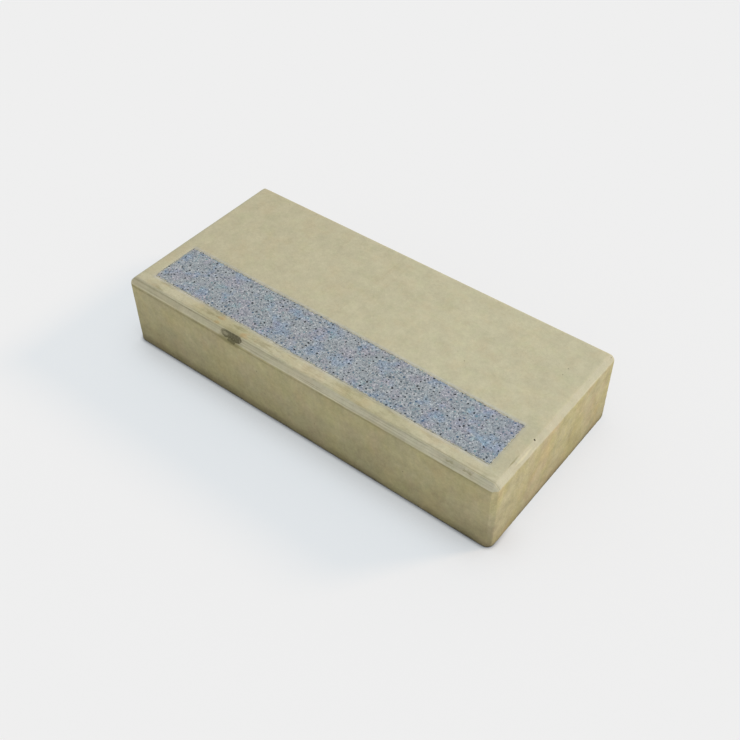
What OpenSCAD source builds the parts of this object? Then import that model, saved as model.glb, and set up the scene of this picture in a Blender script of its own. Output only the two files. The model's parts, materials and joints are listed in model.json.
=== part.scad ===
// Concrete block step with a contrast strip let into its tread.
//
// The step lies as it is laid in a stair: +X runs along its length, the riser face looks towards -Y, and +Z
// is up. The origin is the centre of the bed, the underside that rests on the ground.
// All sizes are in millimetres.

/* [Block] */
// Length of the step, end face to end face
block_l = 800; // [400:10:1500]
// Depth of the step, riser face to back face
block_d = 370; // [300:5:500]
// Height of the step, bed to tread
block_h = 150; // [100:1:200]

// Leg of the 45 degree chamfer along the tread's edges
chamfer = 10; // [6:0.5:20]
// Leg of the 45 degree chamfer down each upright corner
corner_leg = 8; // [3:0.5:11]

/* [Contrast strip] */
// Width of the strip, front to back
strip_w = 99; // [30:1:160]
// Band of tread left between the strip and the riser face
strip_setback = 37; // [20:0.5:60]
// Band of tread left between the strip and each end face
strip_end_gap = 36.5; // [20:0.5:60]
// Depth of the strip's mix in its pocket
strip_t = 8; // [3:0.5:15]
// Draft of the pocket's walls: how much wider the strip is at its face than at its foot, on each side
strip_draft = 1; // [0:0.1:2]

/* [Hidden] */

// Upright corners: distance across the block between the chamfers on two opposite corners
corner_span = (block_l + block_d - 2 * corner_leg) / sqrt(2);
// Upright corners: run of the three-cornered facet that joins two tread chamfers to a corner chamfer
corner_run = (2 * chamfer - corner_leg) / sqrt(2);
// Length that reaches past the block in every direction
reach = 2 * (block_l + block_d);

// Strip: length, and how far its middle lies in front of the block's middle
strip_l = block_l - 2 * strip_end_gap;
strip_y = strip_setback + strip_w / 2 - block_d / 2;
// Height that the pocket's cutter stands above the tread
cut_over = 1;

// A long slab lying along Y, with both of its upper edges chamfered.
//   width: from face to face
//   run:   how far each chamfer comes in over the top; all of them drop by the same leg
module chamfered_slab(width, run) {
    half = width / 2;
    rotate([90, 0, 0])
        linear_extrude(height = reach, center = true)
            polygon([
                [-half, 0],
                [half, 0],
                [half, block_h - chamfer],
                [half - run, block_h],
                [run - half, block_h],
                [-half, block_h - chamfer],
            ]);
}

// The casting's outer form. One slab gives the end faces and one the riser and the back. The two that lie
// across the corners cut the four upright chamfers and the facets above them.
module casting() {
    intersection() {
        chamfered_slab(block_l, chamfer);
        rotate(90) chamfered_slab(block_d, chamfer);
        rotate(45) chamfered_slab(corner_span, corner_run);
        rotate(-45) chamfered_slab(corner_span, corner_run);
    }
}

// A bar across X whose section narrows downwards by the draft, with its face level with the tread.
//   width: at the tread
//   over:  how far its sides carry on above the tread
module drafted_bar(width, over) {
    slope = strip_draft / strip_t;
    foot = width / 2 - strip_draft;
    head = width / 2 + over * slope;
    rotate([90, 0, 90])
        linear_extrude(height = reach, center = true)
            polygon([[-foot, -strip_t], [foot, -strip_t], [head, over], [-head, over]]);
}

// The strip's form, set in its place: where a bar along the step crosses one that runs front to back.
module strip_form(over) {
    translate([0, strip_y, block_h])
        intersection() {
            drafted_bar(strip_w, over);
            rotate(90) drafted_bar(strip_l, over);
        }
}

// The concrete body, with the pocket for the strip.
module step_block() {
    color([0.70, 0.67, 0.54])
        difference() {
            casting();
            strip_form(cut_over);
        }
}

// The inlaid strip, flush with the tread.
module contrast_strip() {
    color([0.55, 0.57, 0.63])
        strip_form(0);
}

step_block();
contrast_strip();
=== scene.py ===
"""A concrete block step with a contrast strip of coloured aggregate let into its tread.

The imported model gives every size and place. The two CAD solids are stood for by three detailed pieces: the
casting with its worn arrises, the strip's bed of fine grit, and the stones that lie in that bed.
All lengths are in metres.
"""

import json
import logging
import math
from collections.abc import Callable
from dataclasses import dataclass
from enum import Enum

import bmesh
import bpy
import numpy as np
from mathutils import Matrix, Vector

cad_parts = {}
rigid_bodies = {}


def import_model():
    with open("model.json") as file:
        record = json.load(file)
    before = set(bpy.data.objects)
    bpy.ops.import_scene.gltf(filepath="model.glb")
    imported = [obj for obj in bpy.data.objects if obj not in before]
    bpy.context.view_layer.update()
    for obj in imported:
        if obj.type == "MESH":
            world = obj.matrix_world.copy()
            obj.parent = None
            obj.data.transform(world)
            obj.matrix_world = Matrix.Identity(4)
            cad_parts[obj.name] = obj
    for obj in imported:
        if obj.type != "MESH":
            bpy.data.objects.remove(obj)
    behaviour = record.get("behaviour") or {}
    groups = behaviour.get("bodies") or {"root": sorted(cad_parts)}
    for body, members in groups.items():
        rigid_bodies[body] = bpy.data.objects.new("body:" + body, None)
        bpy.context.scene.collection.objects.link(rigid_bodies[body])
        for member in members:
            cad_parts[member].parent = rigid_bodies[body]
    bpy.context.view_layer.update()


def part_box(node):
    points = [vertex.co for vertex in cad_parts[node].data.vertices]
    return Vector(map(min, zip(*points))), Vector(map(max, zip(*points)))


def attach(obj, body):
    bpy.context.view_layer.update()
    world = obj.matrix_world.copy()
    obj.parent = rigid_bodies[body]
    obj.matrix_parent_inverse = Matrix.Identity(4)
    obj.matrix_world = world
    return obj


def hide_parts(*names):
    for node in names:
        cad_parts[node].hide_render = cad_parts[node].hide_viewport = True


LOG = logging.getLogger("block_step")

MM = 0.001
ROOT_BODY = "root"
BLOCK_NODE = "step_block"
STRIP_NODE = "contrast_strip"

Colour = tuple[float, float, float, float]
Box = tuple[Vector, Vector]
Plane = tuple[Vector, Vector]


def paint(red: int, green: int, blue: int) -> Colour:
    """Turn a colour as it looks on a screen, 0 to 255, into Blender's linear colour.

    Args:
        red: Red, 0 to 255.
        green: Green, 0 to 255.
        blue: Blue, 0 to 255.

    Returns:
        The linear colour with full opacity.
    """
    def linear(level: int) -> float:
        """One channel, by the sRGB curve."""
        part = level / 255
        return part / 12.92 if part <= 0.04045 else ((part + 0.055) / 1.055) ** 2.4

    return (linear(red), linear(green), linear(blue), 1.0)


# ---------------------------------------------------------------------------------------------- shader maths

class Wire:
    """An output socket that takes part in Python arithmetic. Each operator adds one Math node."""

    def __init__(self, nodes: "Nodes", socket: bpy.types.NodeSocket) -> None:
        """Wrap a socket of a node tree."""
        self.nodes = nodes
        self.socket = socket

    def _math(self, operation: str, first: "Wire | float", second: "Wire | float") -> "Wire":
        """Join two values with a Math node."""
        return self.nodes.node("ShaderNodeMath", {"operation": operation}, {0: first, 1: second})

    def __add__(self, other: "Wire | float") -> "Wire":
        """Self plus other."""
        return self._math("ADD", self, other)

    def __radd__(self, other: float) -> "Wire":
        """Other plus self."""
        return self._math("ADD", other, self)

    def __sub__(self, other: "Wire | float") -> "Wire":
        """Self less other."""
        return self._math("SUBTRACT", self, other)

    def __rsub__(self, other: float) -> "Wire":
        """Other less self."""
        return self._math("SUBTRACT", other, self)

    def __mul__(self, other: "Wire | float") -> "Wire":
        """Self times other."""
        return self._math("MULTIPLY", self, other)

    def __rmul__(self, other: float) -> "Wire":
        """Other times self."""
        return self._math("MULTIPLY", other, self)

    def __pow__(self, other: "Wire | float") -> "Wire":
        """Self raised to the power of other."""
        return self._math("POWER", self, other)

    def __abs__(self) -> "Wire":
        """The size of self without its sign."""
        return self._math("ABSOLUTE", self, 0.0)

    def least(self, other: "Wire | float") -> "Wire":
        """The smaller of self and other."""
        return self._math("MINIMUM", self, other)

    def rise(self, low: float, high: float) -> "Wire":
        """A smooth step: 0 where self is at low, 1 where it is at high. High may be the smaller one.

        Args:
            low: Where the step starts.
            high: Where the step ends.

        Returns:
            The step, between 0 and 1.
        """
        if low < high:
            return self._step(low, high)
        return 1.0 - self._step(high, low)

    def _step(self, low: float, high: float) -> "Wire":
        """A smooth step upwards."""
        sockets = {"Value": self, "From Min": low, "From Max": high}
        return self.nodes.node("ShaderNodeMapRange", {"interpolation_type": "SMOOTHSTEP"}, sockets)

    def band(self, low: float, high: float, edge: float) -> "Wire":
        """A window: 1 between low and high, fading to 0 over edge on each side.

        Args:
            low: Lower side of the window.
            high: Upper side of the window.
            edge: Width of each fade, centred on its side.

        Returns:
            The window, between 0 and 1.
        """
        half = edge / 2
        return self.rise(low - half, low + half) * self.rise(high + half, high - half)


class Blend(Enum):
    """How one colour lies over another, by the Mix node's own names."""

    COVER = "MIX"
    TINT = "MULTIPLY"


class Nodes:
    """A node tree, with one method that adds a node of any kind."""

    def __init__(self, tree: bpy.types.NodeTree) -> None:
        """Wrap a node tree."""
        self.tree = tree

    def raw(self, kind: str, settings: dict | None = None, sockets: dict | None = None) -> bpy.types.Node:
        """Add a node.

        Args:
            kind: The node's type.
            settings: Its properties, set first. A ramp's stops go under "stops".
            sockets: Its inputs, by name or number: a Wire, or a value.

        Returns:
            The node.
        """
        node = self.tree.nodes.new(kind)
        for name, value in (settings or {}).items():
            if name == "stops":
                self._set_stops(node.color_ramp, value)
            else:
                setattr(node, name, value)
        for key, value in (sockets or {}).items():
            entry = node.inputs[key]
            if isinstance(value, Wire):
                self.tree.links.new(value.socket, entry)
            else:
                entry.default_value = value
        return node

    def node(self, kind: str, settings: dict | None = None, sockets: dict | None = None,
             out: str | int = 0) -> Wire:
        """Add a node and take one of its outputs.

        Args:
            kind: The node's type.
            settings: Its properties.
            sockets: Its inputs.
            out: The output's name or number.

        Returns:
            The output.
        """
        return Wire(self, self.raw(kind, settings, sockets).outputs[out])

    @staticmethod
    def _set_stops(ramp: bpy.types.ColorRamp, stops: list[tuple[float, Colour]]) -> None:
        """Make a ramp of flat colours.

        Args:
            ramp: The ramp.
            stops: Each colour in order, after the value that it starts at.
        """
        ramp.interpolation = "CONSTANT"
        while len(ramp.elements) < len(stops):
            ramp.elements.new(0.5)
        for element, (start, colour) in zip(ramp.elements, stops):
            element.position = start
            element.color = colour


class Sheet(Nodes):
    """One material's node tree, and the colour that is painted on it layer over layer."""

    def __init__(self, name: str, colour: Colour | None = None) -> None:
        """Start an empty material.

        Args:
            name: The material's name.
            colour: The first colour on it, where it has one from the start.
        """
        self.material = bpy.data.materials.new(name)
        self.material.use_nodes = True
        super().__init__(self.material.node_tree)
        self.tree.nodes.clear()
        place = self.raw("ShaderNodeTexCoord")
        self.place = Wire(self, place.outputs["Object"])
        self.normal = Wire(self, place.outputs["Normal"])
        self.colour: Wire | Colour | None = colour

    def axes(self, vector: Wire) -> tuple[Wire, Wire, Wire]:
        """Split a vector into its X, Y and Z."""
        split = self.raw("ShaderNodeSeparateXYZ", sockets={0: vector})
        return tuple(Wire(self, split.outputs[i]) for i in range(3))

    def stretched(self, scale: float | tuple[float, float, float], shift: float = 0.0) -> Wire:
        """The object's coordinates, scaled, and moved so that patterns differ.

        Args:
            scale: One factor, or one for each axis.
            shift: How far they are moved.

        Returns:
            The coordinates.
        """
        scale = scale if isinstance(scale, tuple) else (scale,) * 3
        sockets = {"Vector": self.place, "Scale": scale, "Location": (shift, shift * 0.7, -shift)}
        return self.node("ShaderNodeMapping", sockets=sockets)

    def noise(self, scale: float | tuple[float, float, float], detail: float = 3.0, rough: float = 0.5,
              shift: float = 0.0) -> Wire:
        """Soft noise about 0.5.

        Args:
            scale: Waves to the metre, one number or one for each axis.
            detail: Octaves.
            rough: How strong the finer octaves are.
            shift: Moves the pattern.

        Returns:
            The noise, between 0 and 1.
        """
        sockets = {"Vector": self.stretched(scale, shift), "Scale": 1.0, "Detail": detail, "Roughness": rough}
        return self.node("ShaderNodeTexNoise", sockets=sockets, out="Fac")

    def sway(self, scale: float | tuple[float, float, float], detail: float = 3.0, rough: float = 0.5,
             shift: float = 0.0) -> Wire:
        """The same noise about 0, between -0.5 and 0.5."""
        return self.noise(scale, detail, rough, shift) - 0.5

    def cells(self, per_metre: float, out: str, shift: float = 0.0) -> Wire:
        """A cell pattern's distance from the cell's middle, or its colour."""
        sockets = {"Vector": self.stretched(per_metre, shift), "Scale": 1.0}
        return self.node("ShaderNodeTexVoronoi", {"feature": "F1"}, sockets, out)

    def lots(self, per_metre: float, shift: float = 0.0) -> Wire:
        """A number for each cell, drawn between 0 and 1."""
        return self.node("ShaderNodeSeparateColor", sockets={0: self.cells(per_metre, "Color", shift)})

    def mix(self, share: "Wire | float", under: "Wire | Colour", over: "Wire | Colour",
            blend: Blend = Blend.COVER) -> Wire:
        """Lay one colour over another.

        Args:
            share: How much of the upper colour shows.
            under: The lower colour.
            over: The upper colour.
            blend: The way that they are blended.

        Returns:
            The mixed colour.
        """
        settings = {"data_type": "RGBA", "blend_type": blend.value, "clamp_factor": True}
        return self.node("ShaderNodeMix", settings, {0: share, 6: under, 7: over}, 2)

    def scaled(self, colour: "Wire | Colour", factor: Wire) -> Wire:
        """A colour made darker or lighter by a factor."""
        colour = colour if isinstance(colour, Wire) else colour[:3]
        return self.node("ShaderNodeVectorMath", {"operation": "SCALE"}, {"Vector": colour, "Scale": factor})

    def lay(self, share: "Wire | float", colour: "Wire | Colour") -> None:
        """Paint a colour over the sheet's own, as far as the share goes."""
        self.colour = self.mix(share, self.colour, colour)

    def tint(self, share: "Wire | float", colour: Colour) -> None:
        """Multiply the sheet's colour by a tint, as far as the share goes."""
        self.colour = self.mix(share, self.colour, colour, Blend.TINT)

    def shade(self, factor: Wire) -> None:
        """Make the sheet's colour darker or lighter by a factor."""
        self.colour = self.scaled(self.colour, factor)

    def bump(self, height: Wire, distance: float, strength: float = 1.0) -> Wire:
        """A normal from a height pattern that is 0 to 1, at a real depth."""
        sockets = {"Height": height, "Distance": distance, "Strength": strength}
        return self.node("ShaderNodeBump", sockets=sockets)

    def finish(self, roughness: "Wire | float", specular: float,
               normal: Wire | None = None) -> bpy.types.Material:
        """Close the material with one Principled shader in the sheet's colour.

        Args:
            roughness: Roughness.
            specular: Strength of the surface's plain reflection.
            normal: Normal, where it has relief.

        Returns:
            The material.
        """
        sockets = {"Base Color": self.colour, "Roughness": roughness, "Specular IOR Level": specular}
        if normal is not None:
            sockets["Normal"] = normal
        return self.close(self.node("ShaderNodeBsdfPrincipled", sockets=sockets))

    def close(self, shader: Wire) -> bpy.types.Material:
        """Join a shader to the output and give the material."""
        self.raw("ShaderNodeOutputMaterial", sockets={"Surface": shader})
        return self.material


# ------------------------------------------------------------------------------------------------- finishes

@dataclass(frozen=True)
class Site:
    """Where a point of the block lies: its coordinates, and a mask from 0 to 1 for each kind of face."""

    x: Wire
    y: Wire
    z: Wire
    tread: Wire
    side: Wire
    bevel: Wire
    end: Wire
    corner: Wire
    under: Wire

    @classmethod
    def on(cls, sheet: Sheet) -> "Site":
        """Work out the site on a sheet, from its coordinates and normal.

        Args:
            sheet: The sheet.

        Returns:
            The site of its points.
        """
        x, y, z = sheet.axes(sheet.place)
        nx, ny, nz = sheet.axes(sheet.normal)
        tread = nz.rise(0.80, 0.97)
        side = nz.rise(0.55, 0.25)
        corner = abs(nx).rise(0.25, 0.5) * abs(ny).rise(0.45, 0.68) * side
        under = nz.rise(-0.3, -0.8)
        return cls(x, y, z, tread, side, 1 - tread - side, abs(nx).rise(0.3, 0.6), corner, under)


@dataclass(frozen=True)
class Mark:
    """An oval mark, measured in millimetres: its middle, its half sizes, and how softly it fades."""

    middle: tuple[float, float]
    half: tuple[float, float]
    soft: float = 0.4

    def on(self, across: Wire, along: Wire, start: tuple[float, float] = (0.0, 0.0)) -> Wire:
        """Make the mark's mask.

        Args:
            across: First coordinate.
            along: Second coordinate.
            start: The place that the mark's middle is measured from, in metres.

        Returns:
            1 inside the mark, fading to 0 at its rim.
        """
        first = (across - (start[0] + self.middle[0] * MM)) * (1 / (self.half[0] * MM))
        second = (along - (start[1] + self.middle[1] * MM)) * (1 / (self.half[1] * MM))
        return (first * first + second * second).rise(1 + self.soft, 1 - self.soft)


def depth_within(across: Wire, along: Wire, box: Box) -> Wire:
    """How far a point lies inside a rectangle.

    Args:
        across: X of the point.
        along: Y of the point.
        box: The rectangle's corners.

    Returns:
        The distance to the nearest side, below 0 outside.
    """
    low, high = box
    middle, half = (low + high) / 2, (high - low) / 2
    return (half.x - abs(across - middle.x)).least(half.y - abs(along - middle.y))


@dataclass(frozen=True)
class ConcreteFinish:
    """Pale yellow-beige cast concrete, weathered, with grime at its foot. Some colour is painted light: shade
    and highlights at the chamfers' lower edges, lighter upright corners, and contact shadow in the line along
    the ground.

    Marks on the front chamfer are placed along the step from its middle, and down from the tread. The smear
    is placed from that chamfer's inner edge, the spot and the scrapes from the right-hand chamfer's inner
    edge, and the nose from the corner's foot.
    """

    low: Vector
    high: Vector
    chamfer: float
    pocket: Box
    tread: Colour = paint(197, 192, 164)
    tread_brown: Colour = paint(188, 181, 153)
    side: Colour = paint(185, 175, 138)
    side_low: Colour = paint(163, 153, 118)
    bevel: Colour = paint(200, 193, 168)
    bevel_brown: Colour = paint(190, 181, 152)
    bevel_dull: Colour = paint(160, 150, 122)
    cream: Colour = paint(205, 199, 173)
    ridge: Colour = paint(226, 218, 184)
    dirt: Colour = paint(158, 150, 119)
    tan: Colour = paint(196, 164, 120)
    olive: Colour = paint(134, 127, 88)
    lip_crease_shade: Colour = paint(108, 100, 68)
    grime: Colour = paint(98, 88, 60)
    black: Colour = paint(64, 59, 44)
    stain: Colour = paint(80, 76, 50)
    paste: Colour = paint(156, 157, 152)
    hole: Colour = paint(96, 90, 66)
    bed_soil: Colour = paint(128, 118, 92)
    yellowed: Colour = (0.845, 0.84, 0.745, 1.0)
    ochre: Colour = (1.02, 1.02, 0.865, 1.0)
    sandy: Colour = (1.0, 1.012, 1.05, 1.0)
    worn: Colour = (0.86, 0.865, 0.87, 1.0)
    haze: Colour = (0.96, 1.01, 1.24, 1.0)
    pink: Colour = (1.03, 0.965, 1.0, 1.0)
    rosy: Colour = (1.0, 0.958, 0.925, 1.0)
    mossy: Colour = (0.968, 1.0, 0.955, 1.0)
    cool: Colour = (0.95, 0.975, 0.99, 1.0)
    relief: float = 0.6 * MM
    pits_per_metre: float = 48
    smudge: Mark = Mark((185, -9.4), (90, 2.4), 0.8)
    right_smudge: Mark = Mark((310, -3), (30, 3), 0.8)
    nose: Mark = Mark((-10, 14), (50, 40), 0.8)
    stain_ring: Mark = Mark((-155, -4.0), (14, 4.2), 0.35)
    stain_hollow: Mark = Mark((-158, -4.4), (6.0, 1.5), 0.7)
    stain_lobe: Mark = Mark((-135, -4.4), (13, 4.4), 1.0)
    stain_drip: Mark = Mark((-141, -10), (8, 5.0), 1.0)
    stain_run: Mark = Mark((-146, -12), (26, 7), 0.8)
    stain_smear: Mark = Mark((-146, 3), (22, 6), 0.8)
    spot: Mark = Mark((0.7, -63.7), (1.5, 1.5))
    pale_scrape: Mark = Mark((4.5, -100), (1.4, 22), 0.7)
    long_scrape: Mark = Mark((-1.2, -121), (1.2, 15), 0.7)
    deep_scrape: Mark = Mark((-0.9, -124), (0.9, 6), 0.6)
    chips: tuple[Mark, ...] = (Mark((311, -3.4), (7, 1.3), 0.8), Mark((344, -3.4), (10, 1.3), 0.8))

    def material(self) -> bpy.types.Material:
        """Make the material.

        Returns:
            The material.
        """
        sheet = Sheet("cast_concrete")
        site = Site.on(sheet)
        for layer in (self._ground, self._bevels, self._front_rim, self._under_lip, self._mottle, self._foot,
                      self._stain, self._scrapes, self._strip_edge):
            layer(sheet, site)
        grain = sheet.noise(900, 3, 0.6)
        pits = self._pits(sheet)
        sheet.lay(pits * (0.75 - site.tread * 0.45), self.hole)
        lumps = sheet.noise(150, 4, 0.6, 4.0)
        normal = sheet.bump(grain * 0.35 + lumps * 0.65 - pits * 1.6, self.relief, 0.9)
        return sheet.finish(sheet.noise(30, 2) * 0.15 + 0.78, 0.25, normal)

    def _ground(self, sheet: Sheet, site: Site) -> None:
        """The plain faces: a paler tread with faint lines, and yellower sides, darker lower down; the upright
        corner chamfers are painted lighter, as painted light.

        Args:
            sheet: The sheet to paint on.
            site: Where its points lie.
        """
        brown = site.x.rise(0.30, -0.36) * 0.75 + sheet.sway((7, 4, 7), 3, 0.5) * 0.4
        top = sheet.mix(brown, self.tread, self.tread_brown)
        lines = sheet.noise((120, 4, 1), 2, 0.6, 3.0).rise(0.56, 0.74) * site.x.band(-0.13, 0.02, 0.1)
        top = sheet.mix(lines * 0.14, top, self.dirt)
        height = site.z * (1 / (self.high.z - self.low.z))
        lower = height.rise(0.8, -0.05) * (1 - site.end * 0.3)
        clouds = sheet.sway((13, 13, 9), 4, 0.62, 7.0)
        upright = sheet.mix(lower + clouds * 0.45, self.side, self.side_low)
        # Painted light: the upright corner chamfers are scaled lighter than the faces beside them.
        upright = sheet.scaled(upright, 0.93 + site.end * (1 - site.corner) * 0.03 + site.corner * 0.125)
        upright = sheet.mix(0.15 + site.end * 0.85, upright, self.sandy, Blend.TINT)
        scuffed = site.x.rise(0.355, 0.368) * site.y.rise(-0.03, -0.06)
        top = sheet.mix(scuffed * 0.5, top, self.worn, Blend.TINT)
        sheet.colour = sheet.mix(site.side, top, upright)

    def _bevels(self, sheet: Sheet, site: Site) -> None:
        """The chamfers: greyer, drawn out in fine streaks along their length.

        Args:
            sheet: The sheet to paint on.
            site: Where its points lie.
        """
        plain = sheet.mix(site.x.rise(0.3, -0.36) * (1 - site.end), self.bevel, self.bevel_brown)
        along_x = sheet.noise((7, 420, 420), 4, 0.6, 1.0)
        along_y = sheet.noise((420, 7, 420), 4, 0.6, 2.0)
        streak = sheet.mix(site.end, along_x, along_y).rise(0.5, 0.72)
        clean = 1 - site.x.rise(0.22, 0.34) * 0.6
        tone = sheet.mix(streak * clean * (0.9 - site.end * 0.6), plain, self.bevel_dull)
        tone = sheet.mix(site.end, tone, self.cool, Blend.TINT)
        top = (0, self.high.z)
        smudge = self.smudge.on(site.x, site.z, top) + self.right_smudge.on(site.x, site.z, top) * 0.4
        tone = sheet.mix(smudge * (1 - site.end) * 0.55, tone, self.bevel_dull)
        sheet.lay(site.bevel, tone)

    def _front_rim(self, sheet: Sheet, site: Site) -> None:
        """Tread in front of the strip: creamy, dirty and tan in patches, with a ridge and a broken line.

        Args:
            sheet: The sheet to paint on.
            site: Where its points lie.
        """
        into = site.y - (self.low.y + self.chamfer)
        rim = into.band(0.0, 26 * MM, 5 * MM) * site.tread
        left = site.x.rise(0.3, -0.25)
        old = site.x.band(-0.235, -0.105, 0.08) * 0.95 + site.x.band(0.065, 0.22, 0.06) * 0.75
        cream = sheet.noise((26, 50, 10), 4, 0.65, 5.0).rise(0.40, 0.62) + site.x.band(0.25, 0.36, 0.05) * 0.5
        sheet.lay(rim * cream * 0.38, self.cream)
        dirty = sheet.noise((22, 80, 10), 4, 0.7, 6.0).rise(0.45, 0.66)
        dirty = dirty * (1 - site.x.rise(-0.33, -0.36) * 0.8)
        sheet.lay(rim * dirty * (0.38 + left * 0.45), self.dirt)
        tan = sheet.noise((34, 50, 10), 3, 0.5, 13.0).rise(0.50, 0.66)
        sheet.lay(rim * tan * (0.12 + site.x.band(-0.23, -0.10, 0.03) * 0.45), self.tan)
        sheet.tint(rim * (old + 0.03), self.yellowed)
        above = 1 - site.side
        wander = into + sheet.sway((6, 1, 1), 3, 0.5, 9.0) * (3 * MM)
        rag = sheet.sway(90, 3, 0.6, 52.0) * (4 * MM)
        far = site.x.rise(0.0, -0.08) * 0.65 + site.x.rise(0.17, 0.22) * 0.6
        worn = (wander + rag).rise(5.5 * MM, 2.5 * MM) * (wander + rag).rise(-2.0 * MM, 0.0)
        sheet.tint(worn * above * (0.38 + far), self.worn)
        ridge = wander.band(0.4 * MM, 1.8 * MM, 1.0 * MM)
        parts = sheet.noise((8, 1, 1), 2, 0.5, 11.0).rise(0.40, 0.55)
        sheet.lay(ridge * parts * above * 0.3, self.ridge)
        gaps = sheet.noise((6, 1, 1), 2, 0.5, 12.0).rise(0.40, 0.55)
        line = wander.band(4.4 * MM, 5.6 * MM, 1.2 * MM) * site.x.rise(0.2, 0.1)
        crack = wander.band(1.4 * MM, 2.6 * MM, 1.2 * MM) * site.x.rise(0.1, 0.2)
        sheet.lay((line * (0.55 - left * 0.25) + crack * 0.7) * above * gaps, self.dirt)
        crest = into.band(-2.4 * MM, -0.4 * MM, 1.2 * MM)
        parts = sheet.noise((11, 1, 1), 3, 0.5, 14.0).rise(0.35, 0.6)
        sheet.lay(crest * parts * above * 0.4, self.dirt)

    def _under_lip(self, sheet: Sheet, site: Site) -> None:
        """The lower edge of the chamfers: a painted highlight on it, a painted olive shade and a darker
        painted crease beneath it on the front and back, and a painted highlight beneath it on the ends.

        Args:
            sheet: The sheet to paint on.
            site: Where its points lie.
        """
        drop = (self.high.z - self.chamfer) - site.z
        # Painted highlight along the chamfers' lower edge, broader on the left of the front.
        pale = drop.band(-1.6 * MM, -0.2 * MM, 1.0 * MM) * sheet.noise((9, 9, 1), 3, 0.6, 16.0).rise(0.4, 0.6)
        broad = drop.rise(-4 * MM, -1 * MM) * drop.rise(0.5 * MM, -0.5 * MM) * site.x.rise(-0.2, -0.3)
        sheet.lay(pale * 0.3 + broad * 0.2, self.ridge)
        below = drop.rise(-0.4 * MM, 1.0 * MM)
        face = 1 - site.end
        broken = sheet.noise((7, 7, 1), 4, 0.65, 17.0).rise(0.36, 0.62)
        # Painted shade beneath the front and back chamfers' lip, olive and broken, with a darker painted
        # crease just under the lip.
        shade = drop.rise(13 * MM, 3 * MM) * below * face
        sheet.lay(shade * (0.04 + broken * 0.2), self.olive)
        deep = drop - site.x.rise(0.2, -0.1) * (2.6 * MM) + (broken - 0.5) * (1.2 * MM)
        gaps = sheet.noise((5, 5, 1), 4, 0.7, 27.0).rise(0.38, 0.56)
        crease = deep.band(0.0, 2.8 * MM, 2.8 * MM) * below * face
        sheet.lay(crease * (0.12 + gaps * 0.26), self.lip_crease_shade)
        # Painted highlight on the end face, just below its chamfer.
        glint = drop.rise(4.5 * MM, 0.0) * below * site.end * (1 - site.corner)
        sheet.lay(glint * 0.3, self.bevel)

    def _mottle(self, sheet: Sheet, site: Site) -> None:
        """Fine light and dark under faint rosy, mossy, ochre and pink patches.

        Args:
            sheet: The sheet to paint on.
            site: Where its points lie.
        """
        fine = sheet.sway(32, 5, 0.95, 31.0) * (1 - site.side) * 0.6
        drawn = sheet.sway((36, 36, 32), 5, 0.95, 33.0) * site.side * (0.95 + site.end * 0.25)
        sheet.shade(1 + (fine + drawn))
        rosy = sheet.noise((26, 26, 22), 4, 0.72, 23.0).rise(0.42, 0.72)
        mossy = sheet.noise((34, 34, 28), 4, 0.72, 24.0).rise(0.42, 0.72)
        sheet.tint(rosy * 0.85, self.rosy)
        sheet.tint(mossy * 0.85, self.mossy)
        ochre = sheet.noise((15, 15, 12), 4, 0.65, 61.0).rise(0.40, 0.62)
        sheet.tint(ochre * site.side * (0.5 + site.end * 0.4), self.ochre)
        pink = sheet.noise((19, 19, 14), 4, 0.65, 62.0).rise(0.44, 0.64)
        sheet.tint(pink * site.side * (0.65 + site.end * 0.35), self.pink)

    def _foot(self, sheet: Sheet, site: Site) -> None:
        """A ragged band of brown dirt at the foot, a near-black line along the ground that is dirt and
        painted contact shadow, and a soiled bed.

        Args:
            sheet: The sheet to paint on.
            site: Where its points lie.
        """
        waves = sheet.sway((10, 10, 1), 4, 0.6, 15.0)
        rag = sheet.sway(60, 4, 0.6, 18.0)
        edge = site.z + waves * (22 * MM) + rag * (8 * MM)
        plain_end = site.end * (1 - site.corner)
        nose = self.nose.on(site.x, site.z, (self.high.x, 0))
        nose = nose * (1 - plain_end * site.y.rise(self.low.y + 8 * MM, self.low.y + 24 * MM))
        sheet.lay(nose * (0.15 + site.corner * 0.17), self.grime)
        reach = 22 * MM + site.x.rise(0.1, -0.15) * (5 * MM)
        band = (edge - reach).rise(0.0, -22 * MM)
        near = site.y.rise(-0.04, -0.12) * plain_end
        sheet.lay(band * site.side * (0.58 - plain_end * 0.06 - near * 0.2), self.grime)
        # A near-black line along the ground: dirt, and painted contact shadow.
        sole = (site.z + rag * (11 * MM) + waves * (14 * MM)).rise(6.5 * MM, 2 * MM)
        patches = sheet.noise((24, 24, 10), 3, 0.6, 58.0).rise(0.40, 0.60)
        sheet.lay(sole * (0.16 + patches * 0.3 - plain_end * 0.05), self.black)
        sheet.lay(site.under * (0.8 + rag * 0.8), self.bed_soil)

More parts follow.
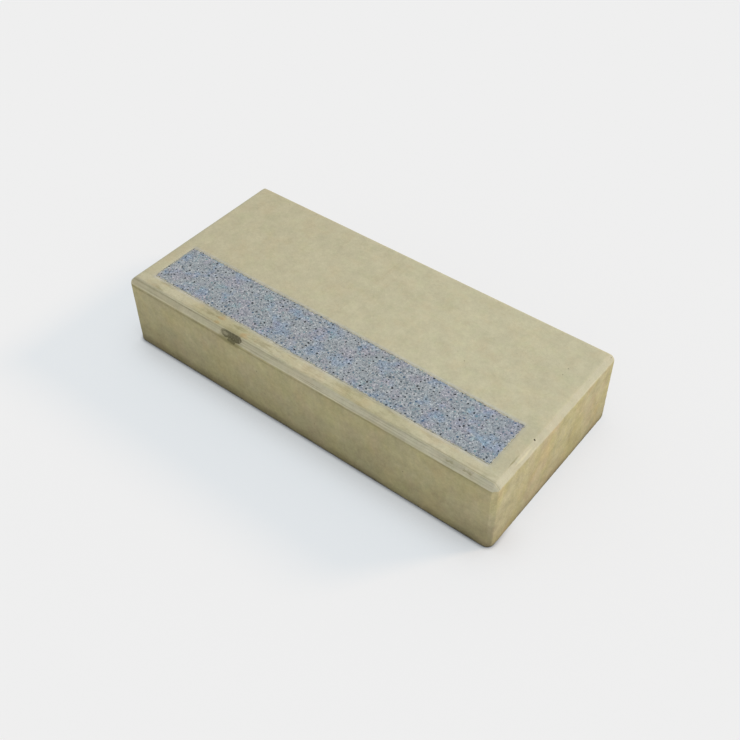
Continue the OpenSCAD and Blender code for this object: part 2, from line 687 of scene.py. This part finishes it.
    def _stain(self, sheet: Sheet, site: Site) -> None:
        """The dark stain on the front chamfer: a ring, a solid lobe and its drip, over a mossy run.

        Args:
            sheet: The sheet to paint on.
            site: Where its points lie.
        """
        x = site.x + sheet.sway(110, 4, 0.7, 19.0) * (16 * MM)
        z = site.z + sheet.sway((80, 80, 200), 4, 0.7, 20.0) * (8 * MM)
        front = (site.y - self.low.y).rise(self.chamfer + 1.5 * MM, self.chamfer)
        top = (0, self.high.z)
        ragged = sheet.sway(210, 4, 0.75, 57.0) * 1.3
        ring = self.stain_ring.on(x, z, top)
        hollow = self.stain_hollow.on(x, z, top)
        lobe = (self.stain_lobe.on(x, z, top) + ragged).rise(0.25, 0.5)
        drip = (self.stain_drip.on(x, z, top) + ragged).rise(0.35, 0.6)
        speckle = sheet.noise(260, 3, 0.7, 22.0).rise(0.34, 0.54) * 0.3 + 0.7
        sheet.lay(self.stain_run.on(x, z, top) * front * 0.7, self.olive)
        smear = self.stain_smear.on(x, site.y, (0, self.low.y + self.chamfer))
        sheet.lay(smear * site.tread * speckle * 0.3, self.olive)
        bare = (1 - lobe) * (1 - drip * 0.8) * (1 - ring * (1 - hollow * 0.45) * 0.9)
        sheet.lay((1 - bare) * front * speckle * 0.86, self.stain)

    def _scrapes(self, sheet: Sheet, site: Site) -> None:
        """Marks near the right-hand end: a spot, scrapes by its chamfer, and chips on the front one.

        Args:
            sheet: The sheet to paint on.
            site: Where its points lie.
        """
        edge = (self.high.x - self.chamfer, 0)
        above = 1 - site.under
        sheet.lay(self.spot.on(site.x, site.y, edge) * above, self.black)
        x = site.x + sheet.sway(60, 3, 0.6, 25.0) * (3 * MM)
        sheet.lay(self.pale_scrape.on(x, site.y, edge) * above * 0.4, self.ridge)
        dark = self.long_scrape.on(x, site.y, edge) + self.deep_scrape.on(x, site.y, edge)
        sheet.lay(dark * above * 0.28, self.olive)
        ragged = sheet.sway(160, 4, 0.7, 26.0)
        z = site.z + ragged * (9 * MM)
        for mark in self.chips:
            chip = mark.on(site.x, z, (0, self.high.z)) * site.bevel
            sheet.lay(chip * (1 - site.end) * (0.42 + ragged), self.olive)

    def _strip_edge(self, sheet: Sheet, site: Site) -> None:
        """Grey paste that the strip's mix left on the tread, in a ragged line round the pocket.

        Args:
            sheet: The sheet to paint on.
            site: Where its points lie.
        """
        outside = 0 - depth_within(site.x, site.y, self.pocket)
        rag = sheet.sway(210, 3, 0.7, 51.0) * (12 * MM)
        paste = (outside + rag).rise(0.0, -1.2 * MM) * outside.rise(2.5 * MM, 0.2 * MM)
        left, right = self.pocket[0].x, self.pocket[1].x
        flank = site.x.rise(right - 1 * MM, right) + site.x.rise(left, left - 1 * MM)
        hazy = outside.rise(9 * MM, 1 * MM) * site.tread * (1 - flank * 0.65)
        sheet.tint(hazy, self.haze)
        sheet.lay(paste * (1 - site.under) * 0.4, self.paste)

    def _pits(self, sheet: Sheet) -> Wire:
        """Small air holes, in scattered cells."""
        distance = sheet.cells(self.pits_per_metre, "Distance", 21.0)
        return distance.rise(0.065, 0.03) * sheet.lots(self.pits_per_metre, 21.0).rise(0.84, 0.88)


class Stone(Enum):
    """The colours of stone in the strip, each with its share of the mix. The first ones are the chips."""

    NAVY = (paint(40, 47, 53), 0.15)
    INK = (paint(61, 71, 79), 0.07)
    BLUE = (paint(76, 100, 123), 0.07)
    STEEL = (paint(104, 123, 133), 0.06)
    TURQUOISE = (paint(112, 143, 149), 0.05)
    SLATE = (paint(129, 137, 142), 0.14)
    ASH = (paint(157, 164, 168), 0.21)
    LILAC = (paint(171, 174, 180), 0.12)
    WHITE = (paint(206, 210, 211), 0.10)
    ROSE = (paint(177, 171, 168), 0.03)

    @classmethod
    def stops(cls) -> list[tuple[float, Colour]]:
        """Ramp stops that give each colour its share, for a value that is even from 0 to 1.

        Returns:
            Each colour with the value that it starts at.
        """
        found = []
        start = 0.0
        for stone in cls:
            colour, share = stone.value
            found.append((start, colour))
            start += share
        return found


@dataclass(frozen=True)
class GritFinish:
    """The strip's bed: fine blue-grey grit in mortar, pale where the tread's paste has crept over it."""

    strip: Box
    mortar: Colour = paint(158, 165, 170)
    dark: Colour = paint(116, 122, 131)
    light: Colour = paint(198, 201, 203)
    grit_per_metre: float = 420
    relief: float = 0.4 * MM

    def material(self) -> bpy.types.Material:
        """Make the material.

        Returns:
            The material.
        """
        sheet = Sheet("strip_grit", self.mortar)
        lot = sheet.lots(self.grit_per_metre)
        sheet.lay(lot.rise(0.45, 0.1) * 0.8, self.dark)
        sheet.lay(lot.rise(0.75, 1.0) * 0.8, self.light)
        # Settling also paints the shadow along the strip's far border.
        StoneFinish(self.strip).settle(sheet)
        dome = sheet.cells(self.grit_per_metre, "Distance").rise(0.6, 0.1)
        return sheet.finish(0.75, 0.3, sheet.bump(dome, self.relief, 0.7))


@dataclass(frozen=True)
class StoneFinish:
    """The stones in the strip, each of one colour."""

    strip: Box
    paste: Colour = paint(188, 183, 158)
    far_border_shadow: Colour = paint(96, 99, 96)
    dusty: Colour = (1.06, 1.0, 0.89, 1.0)
    blue: Colour = (0.84, 0.95, 1.12, 1.0)
    lilac: Colour = (1.05, 0.965, 1.03, 1.0)
    aqua: Colour = (0.83, 1.0, 1.02, 1.0)
    attribute: str = "stone_lot"

    def material(self) -> bpy.types.Material:
        """Make the material.

        Returns:
            The material.
        """
        sheet = Sheet("strip_stones")
        lot = sheet.node("ShaderNodeAttribute", {"attribute_name": self.attribute}, out="Fac")
        sheet.colour = sheet.node("ShaderNodeValToRGB", {"stops": Stone.stops()}, {0: lot})
        sheet.shade(0.85 + sheet.noise(500, 2) * 0.3)
        self.settle(sheet)
        return sheet.finish(0.55, 0.4)

    def settle(self, sheet: Sheet) -> None:
        """Fit a colour to its place in the strip: tinted patches, a painted shadow along its far border, and
        a soiled border.

        Args:
            sheet: The sheet whose colour is fitted.
        """
        x, y, _ = sheet.axes(sheet.place)
        blue = sheet.noise(28, 3, 0.6, 41.0).rise(0.50, 0.66) + x.rise(0.1, 0.45) * 0.3
        sheet.tint(blue * 0.88, self.blue)
        sheet.tint(sheet.noise(32, 3, 0.6, 43.0).rise(0.48, 0.64) * 0.85, self.lilac)
        sheet.tint(sheet.noise(42, 3, 0.6, 45.0).rise(0.58, 0.70) * 0.8, self.aqua)
        # Painted shadow of the pocket's step along the strip's far border, broken into gaps.
        far = y.rise(self.strip[1].y - 2.4 * MM, self.strip[1].y - 0.8 * MM)
        gaps = sheet.noise(9, 3, 0.6, 54.0).rise(0.44, 0.56)
        sheet.lay(far * gaps * 0.4, self.far_border_shadow)
        inside = depth_within(x, y, self.strip)
        sheet.tint(inside.rise(6 * MM, -1 * MM) * 0.95, self.dusty)
        rag = sheet.sway(190, 3, 0.7, 53.0) * (13 * MM)
        sheet.lay((inside + rag).rise(0.9 * MM, -0.4 * MM) * 0.85, self.paste)


@dataclass(frozen=True)
class FloorFinish:
    """The studio's pale floor."""

    colour: Colour = paint(238, 238, 238)
    shaded: Colour = (0.382, 0.306, 0.242, 1.0)
    lift: Colour = (0.503, 0.576, 0.641, 1.0)
    contact: float = 0.08
    contact_shade: tuple[float, float] = (0.09, 0.63)
    crevice: float = 0.009
    crevice_shade: float = 1.35

    def material(self) -> bpy.types.Material:
        """A plain diffuse floor. As a background it is lifted evenly, which keeps the shadow light.

        Close to the block the lift fades, a little all round and more in front of its riser, and in front the
        floor's own colour darkens in the crevice at the riser's foot: a painted contact shadow.

        Returns:
            The material.
        """
        sheet = Sheet("studio_floor")
        plain = sheet.node("ShaderNodeBsdfDiffuse", sockets={"Color": self.colour})
        front = sheet.axes(sheet.place)[1].rise(-0.10, -0.20)
        all_round, more_in_front = self.contact_shade
        # Painted contact shadow: the lift fades where the block hides the sky, more in front of the riser.
        near = 1 - self._hemmed_in(sheet, self.contact) * (all_round + front * more_in_front)
        # Painted shadow in the crevice at the front riser's foot, on the lift and on the floor's own colour.
        touching = 1 - self._hemmed_in(sheet, self.crevice) * front * self.crevice_shade
        shaded = sheet.node("ShaderNodeBsdfDiffuse", sockets={"Color": sheet.scaled(self.shaded, touching)})
        glow = sheet.node("ShaderNodeEmission", sockets={"Color": sheet.scaled(self.lift, near * touching)})
        seen = sheet.node("ShaderNodeAddShader", sockets={0: shaded, 1: glow})
        path = sheet.raw("ShaderNodeLightPath")
        rays = [Wire(sheet, path.outputs[f"Is {kind} Ray"]) for kind in ("Camera", "Glossy", "Transmission")]
        sockets = {0: rays[0] + rays[1] + rays[2], 1: plain, 2: seen}
        return sheet.close(sheet.node("ShaderNodeMixShader", sockets=sockets))

    @staticmethod
    def _hemmed_in(sheet: Sheet, distance: float) -> Wire:
        """How much of the sky is hidden by what stands within a distance: 0 in the open."""
        sky = sheet.node("ShaderNodeAmbientOcclusion", {"samples": 8}, {"Distance": distance}, "AO")
        return 1 - sky.rise(0.0, 1.0)


# ----------------------------------------------------------------------------------------------- workbench

class Part(Enum):
    """What is picked in edit mode: its select mode, and bmesh's name for all of them."""

    EDGES = ("EDGE", "edges")
    FACES = ("FACE", "faces")


class Push(Enum):
    """Which way a relief moves the surface, by the Displace modifier's own names."""

    INWARD = "NORMAL"
    ALONG_X = "X"
    ALONG_Y = "Y"


@dataclass(frozen=True)
class Relief:
    """Cloudy hollows for a surface: how deep and wide they are, and how sharply they part from it.

    They work on a vertex group, or on the whole piece. The level is the pattern's value that leaves the
    surface where it is.
    """

    name: str
    depth: float
    size: float
    group: str = ""
    contrast: float = 1.0
    push: Push = Push.INWARD
    level: float = 0.0


class Bench:
    """Blender's operators, used the way a hand would."""

    @staticmethod
    def clear() -> None:
        """Deselect everything."""
        if bpy.context.object and bpy.context.object.mode != "OBJECT":
            bpy.ops.object.mode_set(mode="OBJECT")
        bpy.ops.object.select_all(action="DESELECT")

    @staticmethod
    def hold(piece: bpy.types.Object) -> None:
        """Make a piece the active one and the only one selected.

        Args:
            piece: The object.
        """
        Bench.clear()
        bpy.context.view_layer.objects.active = piece
        piece.select_set(True)

    @staticmethod
    def cube(name: str, low: Vector, high: Vector) -> bpy.types.Object:
        """Add a box between two corners, with its place in its mesh.

        Args:
            name: The object's name.
            low: Lowest corner.
            high: Highest corner.

        Returns:
            The box.
        """
        Bench.clear()
        bpy.ops.mesh.primitive_cube_add(size=1, location=(low + high) / 2, scale=high - low)
        piece = bpy.context.object
        piece.name = name
        piece.data.name = name
        bpy.ops.object.transform_apply(location=True, rotation=True, scale=True)
        return piece

    @staticmethod
    def points(piece: bpy.types.Object) -> np.ndarray:
        """Read a piece's vertices.

        Args:
            piece: The object.

        Returns:
            Their coordinates, a row for each.
        """
        flat = np.empty(len(piece.data.vertices) * 3)
        piece.data.vertices.foreach_get("co", flat)
        return flat.reshape(-1, 3)

    @staticmethod
    def pick(piece: bpy.types.Object, part: Part, wanted: Callable[..., bool]) -> None:
        """Enter edit mode with only the edges or faces that pass a test selected.

        Args:
            piece: The object.
            part: Edges or faces.
            wanted: The test, on one bmesh edge or face.
        """
        mode, members = part.value
        Bench.hold(piece)
        bpy.ops.object.mode_set(mode="EDIT")
        bpy.ops.mesh.select_mode(type=mode)
        bpy.ops.mesh.select_all(action="DESELECT")
        shape = bmesh.from_edit_mesh(piece.data)
        for member in getattr(shape, members):
            member.select_set(bool(wanted(member)))
        bmesh.update_edit_mesh(piece.data)

    @staticmethod
    def bisect(piece: bpy.types.Object, plane: Plane, wanted: Callable[..., bool],
               trim: bool = False) -> None:
        """Cut the faces that pass a test along a plane.

        Args:
            piece: The object.
            plane: A point of the plane, and its normal.
            wanted: The test, on one bmesh face.
            trim: Whether to drop what lies past the plane and close the cut.
        """
        Bench.pick(piece, Part.FACES, wanted)
        bpy.ops.mesh.bisect(plane_co=plane[0], plane_no=plane[1], use_fill=trim, clear_outer=trim)
        bpy.ops.object.mode_set(mode="OBJECT")

    @staticmethod
    def modify(piece: bpy.types.Object, kind: str, **settings: object) -> None:
        """Add a modifier and apply it.

        Args:
            piece: The object.
            kind: The modifier's type.
            **settings: Its properties.
        """
        Bench.hold(piece)
        modifier = piece.modifiers.new(kind.lower(), kind)
        for name, value in settings.items():
            setattr(modifier, name, value)
        bpy.ops.object.modifier_apply(modifier=modifier.name)

    @staticmethod
    def group(piece: bpy.types.Object, name: str, weights: np.ndarray) -> None:
        """Make a vertex group from one weight a vertex, in sixteen steps.

        Args:
            piece: The object.
            name: The group's name.
            weights: From 0 to 1.
        """
        steps = 16
        group = piece.vertex_groups.new(name=name)
        level = np.round(weights * steps).astype(int)
        for step in range(1, steps + 1):
            members = np.nonzero(level == step)[0]
            if len(members):
                group.add(members.tolist(), step / steps, "REPLACE")

    @staticmethod
    def press(piece: bpy.types.Object, relief: Relief) -> None:
        """Press a relief into the surface, or shift the surface along an axis by it.

        Args:
            piece: The object.
            relief: The relief.
        """
        clouds = bpy.data.textures.new(relief.name, "CLOUDS")
        clouds.noise_scale = relief.size
        clouds.noise_depth = 2
        clouds.contrast = relief.contrast
        clouds.use_clamp = True
        Bench.modify(piece, "DISPLACE", texture=clouds, texture_coords="LOCAL", strength=-relief.depth,
                     mid_level=relief.level, vertex_group=relief.group, direction=relief.push.value)

    @staticmethod
    def net(piece: bpy.types.Object, axis: int, pitch: float) -> None:
        """Cut every edge along an axis into equal lengths, which slices the box into bands.

        Args:
            piece: The box.
            axis: 0, 1 or 2.
            pitch: Width of a band.
        """
        most_cuts = 90
        length = piece.dimensions[axis]
        rounds = max(1, math.ceil(math.log(length / pitch) / math.log(most_cuts + 1)))
        cuts = max(1, round((length / pitch) ** (1 / rounds)) - 1)

        def along(edge: bmesh.types.BMEdge) -> bool:
            """Whether the edge runs along the axis."""
            run = edge.verts[1].co - edge.verts[0].co
            return abs(run[axis]) > 0.9 * run.length

        for _ in range(rounds):
            Bench.pick(piece, Part.EDGES, along)
            bpy.ops.mesh.subdivide(number_cuts=cuts, quadcorner="STRAIGHT_CUT")
            bpy.ops.object.mode_set(mode="OBJECT")


# ------------------------------------------------------------------------------------------------- casting

@dataclass
class Casting:
    """The concrete body, with chamfered and worn arrises and a pocket for the strip."""

    low: Vector
    high: Vector
    pocket: Box
    voxel: float = 1.6 * MM
    quick_voxel: float = 3 * MM
    triangles: int = 150_000
    chamfer: float = 10 * MM
    corner_leg: float = 8 * MM
    worn_width: float = 3.5 * MM
    worn_upright_width: float = 6 * MM
    rim_width: float = 4 * MM
    foot_height: float = 5 * MM
    rim_wear: tuple[Relief, ...] = (
        Relief("ragged_rim_X", 4 * MM, 7 * MM, "rim", push=Push.ALONG_X, level=0.5),
        Relief("ragged_rim_Y", 4 * MM, 7 * MM, "rim", push=Push.ALONG_Y, level=0.5),
    )
    wear: tuple[Relief, ...] = (
        Relief("broad_hollows", 0.25 * MM, 130 * MM),
        Relief("fine_hollows", 0.18 * MM, 18 * MM),
        Relief("arris_wear", 0.55 * MM, 10 * MM, "arrises", contrast=2.0),
    )
    foot_wear: Relief = Relief("foot_wear", 0.5 * MM, 7 * MM, "foot", contrast=2.0)

    def build(self) -> bpy.types.Object:
        """Cast, weather and dress the body.

        Returns:
            The finished piece.
        """
        piece = Bench.cube("step_block_casting", self.low, self.high)
        self._cut_arrises(piece)
        self._sink_pocket(piece)
        self._skin(piece)
        self._thin_out(piece)
        piece.data.materials.clear()
        piece.data.materials.append(ConcreteFinish(self.low, self.high, self.chamfer, self.pocket).material())
        return piece

    def _planes(self, upright: bool) -> list[Plane]:
        """The planes that bound the form, other than its bed.

        Args:
            upright: Whether to give the side faces and corner chamfers, or the tread, chamfers and facets.

        Returns:
            A point and an outward normal for each plane, with the plain faces first.
        """
        middle = (self.low + self.high) / 2
        half = (self.high - self.low) / 2
        lip = half.z - self.chamfer
        sides = [(1, 0), (-1, 0), (0, 1), (0, -1)]
        corners = [(1, 1), (1, -1), (-1, 1), (-1, -1)]
        if upright:
            found = [((sx * half.x, sy * half.y, 0), (sx, sy, 0)) for sx, sy in sides]
            found += [((sx * half.x, sy * (half.y - self.corner_leg), 0), (sx, sy, 0)) for sx, sy in corners]
        else:
            found = [((0, 0, half.z), (0, 0, 1))]
            found += [((sx * half.x, sy * half.y, lip), (sx, sy, 1)) for sx, sy in sides]
            # A facet passes through the ends of the three chamfers that meet at its corner.
            rise = 2 - self.corner_leg / self.chamfer
            inset = half.y - self.corner_leg
            found += [((sx * half.x, sy * inset, lip), (sx, sy, rise)) for sx, sy in corners]
        return [(middle + Vector(point), Vector(normal).normalized()) for point, normal in found]

    def _cut_arrises(self, piece: bpy.types.Object) -> None:
        """Cut the tread's chamfers, the upright corner chamfers and the facets where they meet.

        Args:
            piece: The casting.
        """
        # The plain faces come first, and the box has them already.
        sides, treads = 4, 1
        for plane in self._planes(upright=True)[sides:] + self._planes(upright=False)[treads:]:
            Bench.bisect(piece, plane, lambda face: True, trim=True)

    def _sink_pocket(self, piece: bpy.types.Object) -> None:
        """Sink the strip's pocket into the tread: cut its four lines, then push the panel down.

        Args:
            piece: The casting.
        """
        low, high = self.pocket
        middle = (low + high) / 2

        def on_tread(face: bmesh.types.BMFace) -> bool:
            """Whether a face lies in the tread."""
            return face.normal.z > 0.99

        def panel(face: bmesh.types.BMFace) -> bool:
            """Whether a face is the tread's panel inside the four lines."""
            return on_tread(face) and (face.calc_center_median() - middle).xy.length < MM

        for normal in (Vector((1, 0, 0)), Vector((0, 1, 0))):
            for corner in self.pocket:
                Bench.bisect(piece, (corner, normal), on_tread)
        Bench.pick(piece, Part.FACES, panel)
        bpy.ops.mesh.extrude_region_move(TRANSFORM_OT_translate={"value": (0, 0, low.z - self.high.z)})
        bpy.ops.object.mode_set(mode="OBJECT")

    def _skin(self, piece: bpy.types.Object) -> None:
        """Turn the sharp form into an even, fine skin, round its arrises and wear it.

        Args:
            piece: The casting.
        """
        Bench.modify(piece, "REMESH", mode="VOXEL", voxel_size=self.voxel, adaptivity=0.0)
        Bench.group(piece, "rim", self._rim(piece))
        for relief in self.rim_wear:
            Bench.press(piece, relief)
        uprights, upper = self._planes(upright=True), self._planes(upright=False)
        Bench.group(piece, "uprights", self._nearness(piece, uprights, self.worn_upright_width))
        Bench.group(piece, "arrises", self._nearness(piece, uprights + upper, self.worn_width))
        for group, rounds in (("uprights", 7), ("arrises", 4)):
            Bench.modify(piece, "SMOOTH", iterations=rounds, factor=0.5, vertex_group=group)
        for relief in self.wear:
            Bench.press(piece, relief)
        heights = Bench.points(piece)[:, 2] - self.low.z
        Bench.group(piece, "foot", np.clip(1 - heights / self.foot_height, 0, 1))
        Bench.press(piece, self.foot_wear)

    def _rim(self, piece: bpy.types.Object) -> np.ndarray:
        """How near each vertex is to the pocket's rim: 1 on it, 0 past the rim's width.

        Args:
            piece: The casting.

        Returns:
            The nearness of each vertex.
        """
        points = Bench.points(piece)
        low, high = self.pocket
        middle = np.array((low + high) / 2)[:2]
        half = np.array((high - low) / 2)[:2]
        inside = np.min(half - np.abs(points[:, :2] - middle), axis=1)
        near = np.clip(1 - np.abs(inside) / self.rim_width, 0, 1)
        return near * (points[:, 2] > low.z + MM)

    @staticmethod
    def _nearness(piece: bpy.types.Object, planes: list[Plane], width: float) -> np.ndarray:
        """How near each vertex is to an arris of the form: 1 on it, 0 past a width.

        A point next to an arris is close to two of the planes that bound the form.

        Args:
            piece: The casting.
            planes: The planes that count.
            width: How far from the arris it reaches.

        Returns:
            The nearness of each vertex.
        """
        points = Bench.points(piece)
        depths = [(np.array(point) - points) @ np.array(normal) for point, normal in planes]
        second = np.partition(np.array(depths), 1, axis=0)[1]
        return np.clip(1 - second / width, 0, 1)

    def _thin_out(self, piece: bpy.types.Object) -> None:
        """Keep the fine faces where there is relief and drop them on the flats.

        Args:
            piece: The casting.
        """
        have = sum(len(face.vertices) - 2 for face in piece.data.polygons)
        Bench.modify(piece, "DECIMATE", ratio=min(1.0, self.triangles / have))
        piece.data.shade_smooth()
        piece.vertex_groups.clear()


# --------------------------------------------------------------------------------------------------- strip

@dataclass(frozen=True)
class StoneMix:
    """One size of stone in the strip: its spacing, its smallest and largest width, and how it lies.

    The lots are the part of the colour ramp that its stones draw from.
    """

    name: str
    gap: float
    least: float
    most: float
    flatness: float
    tilt: float
    lots: tuple[float, float]
    seed: int


@dataclass
class ContrastStrip:
    """The strip let into the tread: a bed of grit, and stones that stand a little out of it.

    The bed is tucked a little under the pocket's rim. The higher the skew, the more of the stones are small.
    """

    low: Vector
    high: Vector
    sink: float = 0.3 * MM
    tuck: float = 1.2 * MM
    pitch: float = 2 * MM
    margin: float = 0.3 * MM
    seat: float = 0.12 * MM
    density: float = 400_000
    breakage: float = 0.12
    widths: tuple[float, ...] = (0.75, 0.81, 0.87, 0.93)
    skew: float = 2.2
    relief: Relief = Relief("grit_relief", 0.35 * MM, 3 * MM, "upper", contrast=1.6)
    grit: StoneMix = StoneMix("contrast_strip_grit", 2.9 * MM, 1.5 * MM, 3.4 * MM,
                              flatness=0.19, tilt=0.14, lots=(0.30, 1.0), seed=7)
    chips: StoneMix = StoneMix("contrast_strip_chips", 5.7 * MM, 2.2 * MM, 5.6 * MM,
                               flatness=0.12, tilt=0.03, lots=(0.0, 0.40), seed=19)

    def build(self) -> list[bpy.types.Object]:
        """Make the bed and the stones.

        Returns:
            The pieces.
        """
        box = (self.low, self.high)
        pieces = [self._bed()]
        pieces[0].data.materials.append(GritFinish(box).material())
        colours = StoneFinish(box).material()
        for mix in (self.grit, self.chips):
            stones = self._stones(mix)
            stones.data.materials.append(colours)
            pieces.append(stones)
        return pieces

    def _bed(self) -> bpy.types.Object:
        """Fill the pocket, cut the fill into a fine net and roughen its top.

        Returns:
            The bed.
        """
        under_rim = Vector((self.tuck, self.tuck, 0))
        top = self.high + under_rim - Vector((0, 0, self.sink))
        bed = Bench.cube("contrast_strip_bed", self.low - under_rim, top)
        Bench.net(bed, 0, self.pitch)
        Bench.net(bed, 1, self.pitch)
        Bench.group(bed, "upper", (Bench.points(bed)[:, 2] > top.z - self.sink).astype(float))
        Bench.press(bed, self.relief)
        bed.vertex_groups.clear()
        bed.data.shade_smooth()
        return bed

    def _stone_shapes(self, flatness: float) -> bpy.types.Collection:
        """Break a few low stones to copy.

        Args:
            flatness: Their height as a share of their length.

        Returns:
            The collection that holds them.
        """
        shelf = bpy.data.collections.new("stone_shapes")
        for seed, width in enumerate(self.widths, start=1):
            Bench.clear()
            bpy.ops.mesh.primitive_ico_sphere_add(subdivisions=1, radius=0.5)
            stone = bpy.context.object
            bpy.ops.object.mode_set(mode="EDIT")
            bpy.ops.transform.vertex_random(offset=self.breakage, seed=seed)
            bpy.ops.transform.resize(value=(1.0, width, flatness))
            bpy.ops.object.mode_set(mode="OBJECT")
            bpy.context.collection.objects.unlink(stone)
            shelf.objects.link(stone)
        return shelf

    def _stones(self, mix: StoneMix) -> bpy.types.Object:
        """Scatter one size of stone over the bed and make the stones one mesh.

        Args:
            mix: The size of stone.

        Returns:
            The stones.
        """
        shelf = self._stone_shapes(mix.flatness)
        Bench.clear()
        size = self.high - self.low
        place = (self.high + self.low) / 2
        place.z = self.high.z - self.sink - self.seat
        bpy.ops.mesh.primitive_plane_add(size=1, location=place)
        stones = bpy.context.object
        stones.name = mix.name
        bpy.ops.transform.resize(value=(size.x - 2 * self.margin, size.y - 2 * self.margin, 1))
        bpy.ops.object.transform_apply(location=True, rotation=True, scale=True)
        modifier = stones.modifiers.new("scatter", "NODES")
        modifier.node_group = self._scatter(shelf, mix)
        bpy.ops.object.modifier_apply(modifier=modifier.name)
        stones.data.materials.clear()
        stones.data.shade_flat()
        for shape in list(shelf.objects):
            bpy.data.objects.remove(shape, do_unlink=True)
        bpy.data.collections.remove(shelf)
        return stones

    def _scatter(self, shelf: bpy.types.Collection, mix: StoneMix) -> bpy.types.NodeTree:
        """Nodes that copy the stones to scattered points, turned and sized at random.

        Args:
            shelf: The stones to copy.
            mix: Their spacing, sizes and tilt.

        Returns:
            The node group.
        """
        nodes = Nodes(bpy.data.node_groups.new("scatter_stones", "GeometryNodeTree"))
        for way in ("INPUT", "OUTPUT"):
            nodes.tree.interface.new_socket("Geometry", in_out=way, socket_type="NodeSocketGeometry")
        spread = {"Mesh": nodes.node("NodeGroupInput"), "Distance Min": mix.gap, "Density Max": self.density,
                  "Seed": mix.seed}
        points = nodes.node("GeometryNodeDistributePointsOnFaces", {"distribute_method": "POISSON"}, spread,
                            "Points")
        shapes = nodes.node("GeometryNodeCollectionInfo", sockets={
            "Collection": shelf, "Separate Children": True, "Reset Children": True})
        turn = nodes.node("FunctionNodeRandomValue", {"data_type": "FLOAT_VECTOR"}, {
            0: (-mix.tilt, -mix.tilt, 0.0), 1: (mix.tilt, mix.tilt, 2 * math.pi), "Seed": 1})
        small = self._chance(nodes, (0.0, 1.0), 2) ** self.skew
        width = nodes.node("ShaderNodeMapRange", sockets={
            "Value": small, "To Min": mix.least, "To Max": mix.most})
        copies = nodes.node("GeometryNodeInstanceOnPoints", sockets={
            "Points": points, "Instance": shapes, "Pick Instance": True, "Rotation": turn, "Scale": width})
        marked = nodes.node("GeometryNodeStoreNamedAttribute", {"data_type": "FLOAT", "domain": "INSTANCE"}, {
            "Geometry": copies, "Name": StoneFinish.attribute, "Value": self._chance(nodes, mix.lots, 3)})
        real = nodes.node("GeometryNodeRealizeInstances", sockets={0: marked})
        nodes.raw("NodeGroupOutput", sockets={0: real})
        return nodes.tree

    @staticmethod
    def _chance(nodes: Nodes, span: tuple[float, float], seed: int) -> Wire:
        """A seeded random number for each copy, within a span."""
        sockets = {2: span[0], 3: span[1], "Seed": seed}
        return nodes.node("FunctionNodeRandomValue", {"data_type": "FLOAT"}, sockets, 1)


# -------------------------------------------------------------------------------------------------- studio

@dataclass
class Studio:
    """Floor, lights and camera."""

    eye: Vector = Vector((0.84457, -1.03526, 1.34986))
    view: Vector = Vector((-0.441415, 0.551325, -0.707950))
    roll: float = math.radians(-0.630)
    lens: float = 50.0
    sensor: float = 36.0
    light_from: Vector = Vector((1.17, 1.48, 1.0))
    light_spread: float = math.radians(13)
    light_strength: float = 1.6
    light_colour: tuple[float, float, float] = (1.0, 0.85, 0.70)
    sky_strength: float = 0.75
    sky_colour: Colour = (0.94, 0.98, 1.0, 1.0)
    floor_half: float = 6.0

    def build(self) -> None:
        """Set the whole studio up."""
        self._floor()
        self._sun()
        self._sky()
        self._camera()
        bpy.context.scene.view_settings.view_transform = "Standard"

    def _floor(self) -> None:
        """Lay the floor that the step stands on."""
        Bench.clear()
        bpy.ops.mesh.primitive_plane_add(size=2 * self.floor_half, location=(0, 0, 0))
        floor = bpy.context.object
        floor.name = "studio_floor"
        floor.data.materials.append(FloorFinish().material())

    def _sun(self) -> None:
        """Hang the broad warm key light."""
        lamp = bpy.data.lights.new("key", "SUN")
        lamp.energy = self.light_strength
        lamp.angle = self.light_spread
        lamp.color = self.light_colour
        holder = bpy.data.objects.new("key", lamp)
        holder.rotation_euler = self.light_from.to_track_quat("Z", "Y").to_euler()
        bpy.context.collection.objects.link(holder)

    def _sky(self) -> None:
        """Light everything softly from all round."""
        world = bpy.data.worlds.new("soft_sky")
        world.use_nodes = True
        back = world.node_tree.nodes["Background"]
        back.inputs["Color"].default_value = self.sky_colour
        back.inputs["Strength"].default_value = self.sky_strength
        bpy.context.scene.world = world

    def _camera(self) -> None:
        """Place the camera at the view's angle, with its slight roll."""
        data = bpy.data.cameras.new("camera")
        data.lens = self.lens
        data.sensor_width = self.sensor
        camera = bpy.data.objects.new("camera", data)
        aim = self.view.to_track_quat("-Z", "Y").to_matrix().to_4x4()
        camera.matrix_world = Matrix.Translation(self.eye) @ aim @ Matrix.Rotation(self.roll, 4, "Z")
        bpy.context.collection.objects.link(camera)
        bpy.context.scene.camera = camera


def main() -> None:
    """Build the studio and the step."""
    logging.basicConfig(level=logging.INFO, format="%(message)s")
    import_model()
    Studio().build()
    low, high = (Vector(corner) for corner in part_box(BLOCK_NODE))
    strip_low, strip_high = (Vector(corner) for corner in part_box(STRIP_NODE))
    voxel = Casting.voxel
    casting = Casting(low, high, (strip_low, strip_high), voxel).build()
    strip = ContrastStrip(strip_low, strip_high).build()
    for piece in [casting, *strip]:
        is_casting = piece is casting
        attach(piece, ROOT_BODY)
        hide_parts(BLOCK_NODE if is_casting else STRIP_NODE)
        LOG.info("%s: %d faces", piece.name, len(piece.data.polygons))


if __name__ == "__main__":
    main()
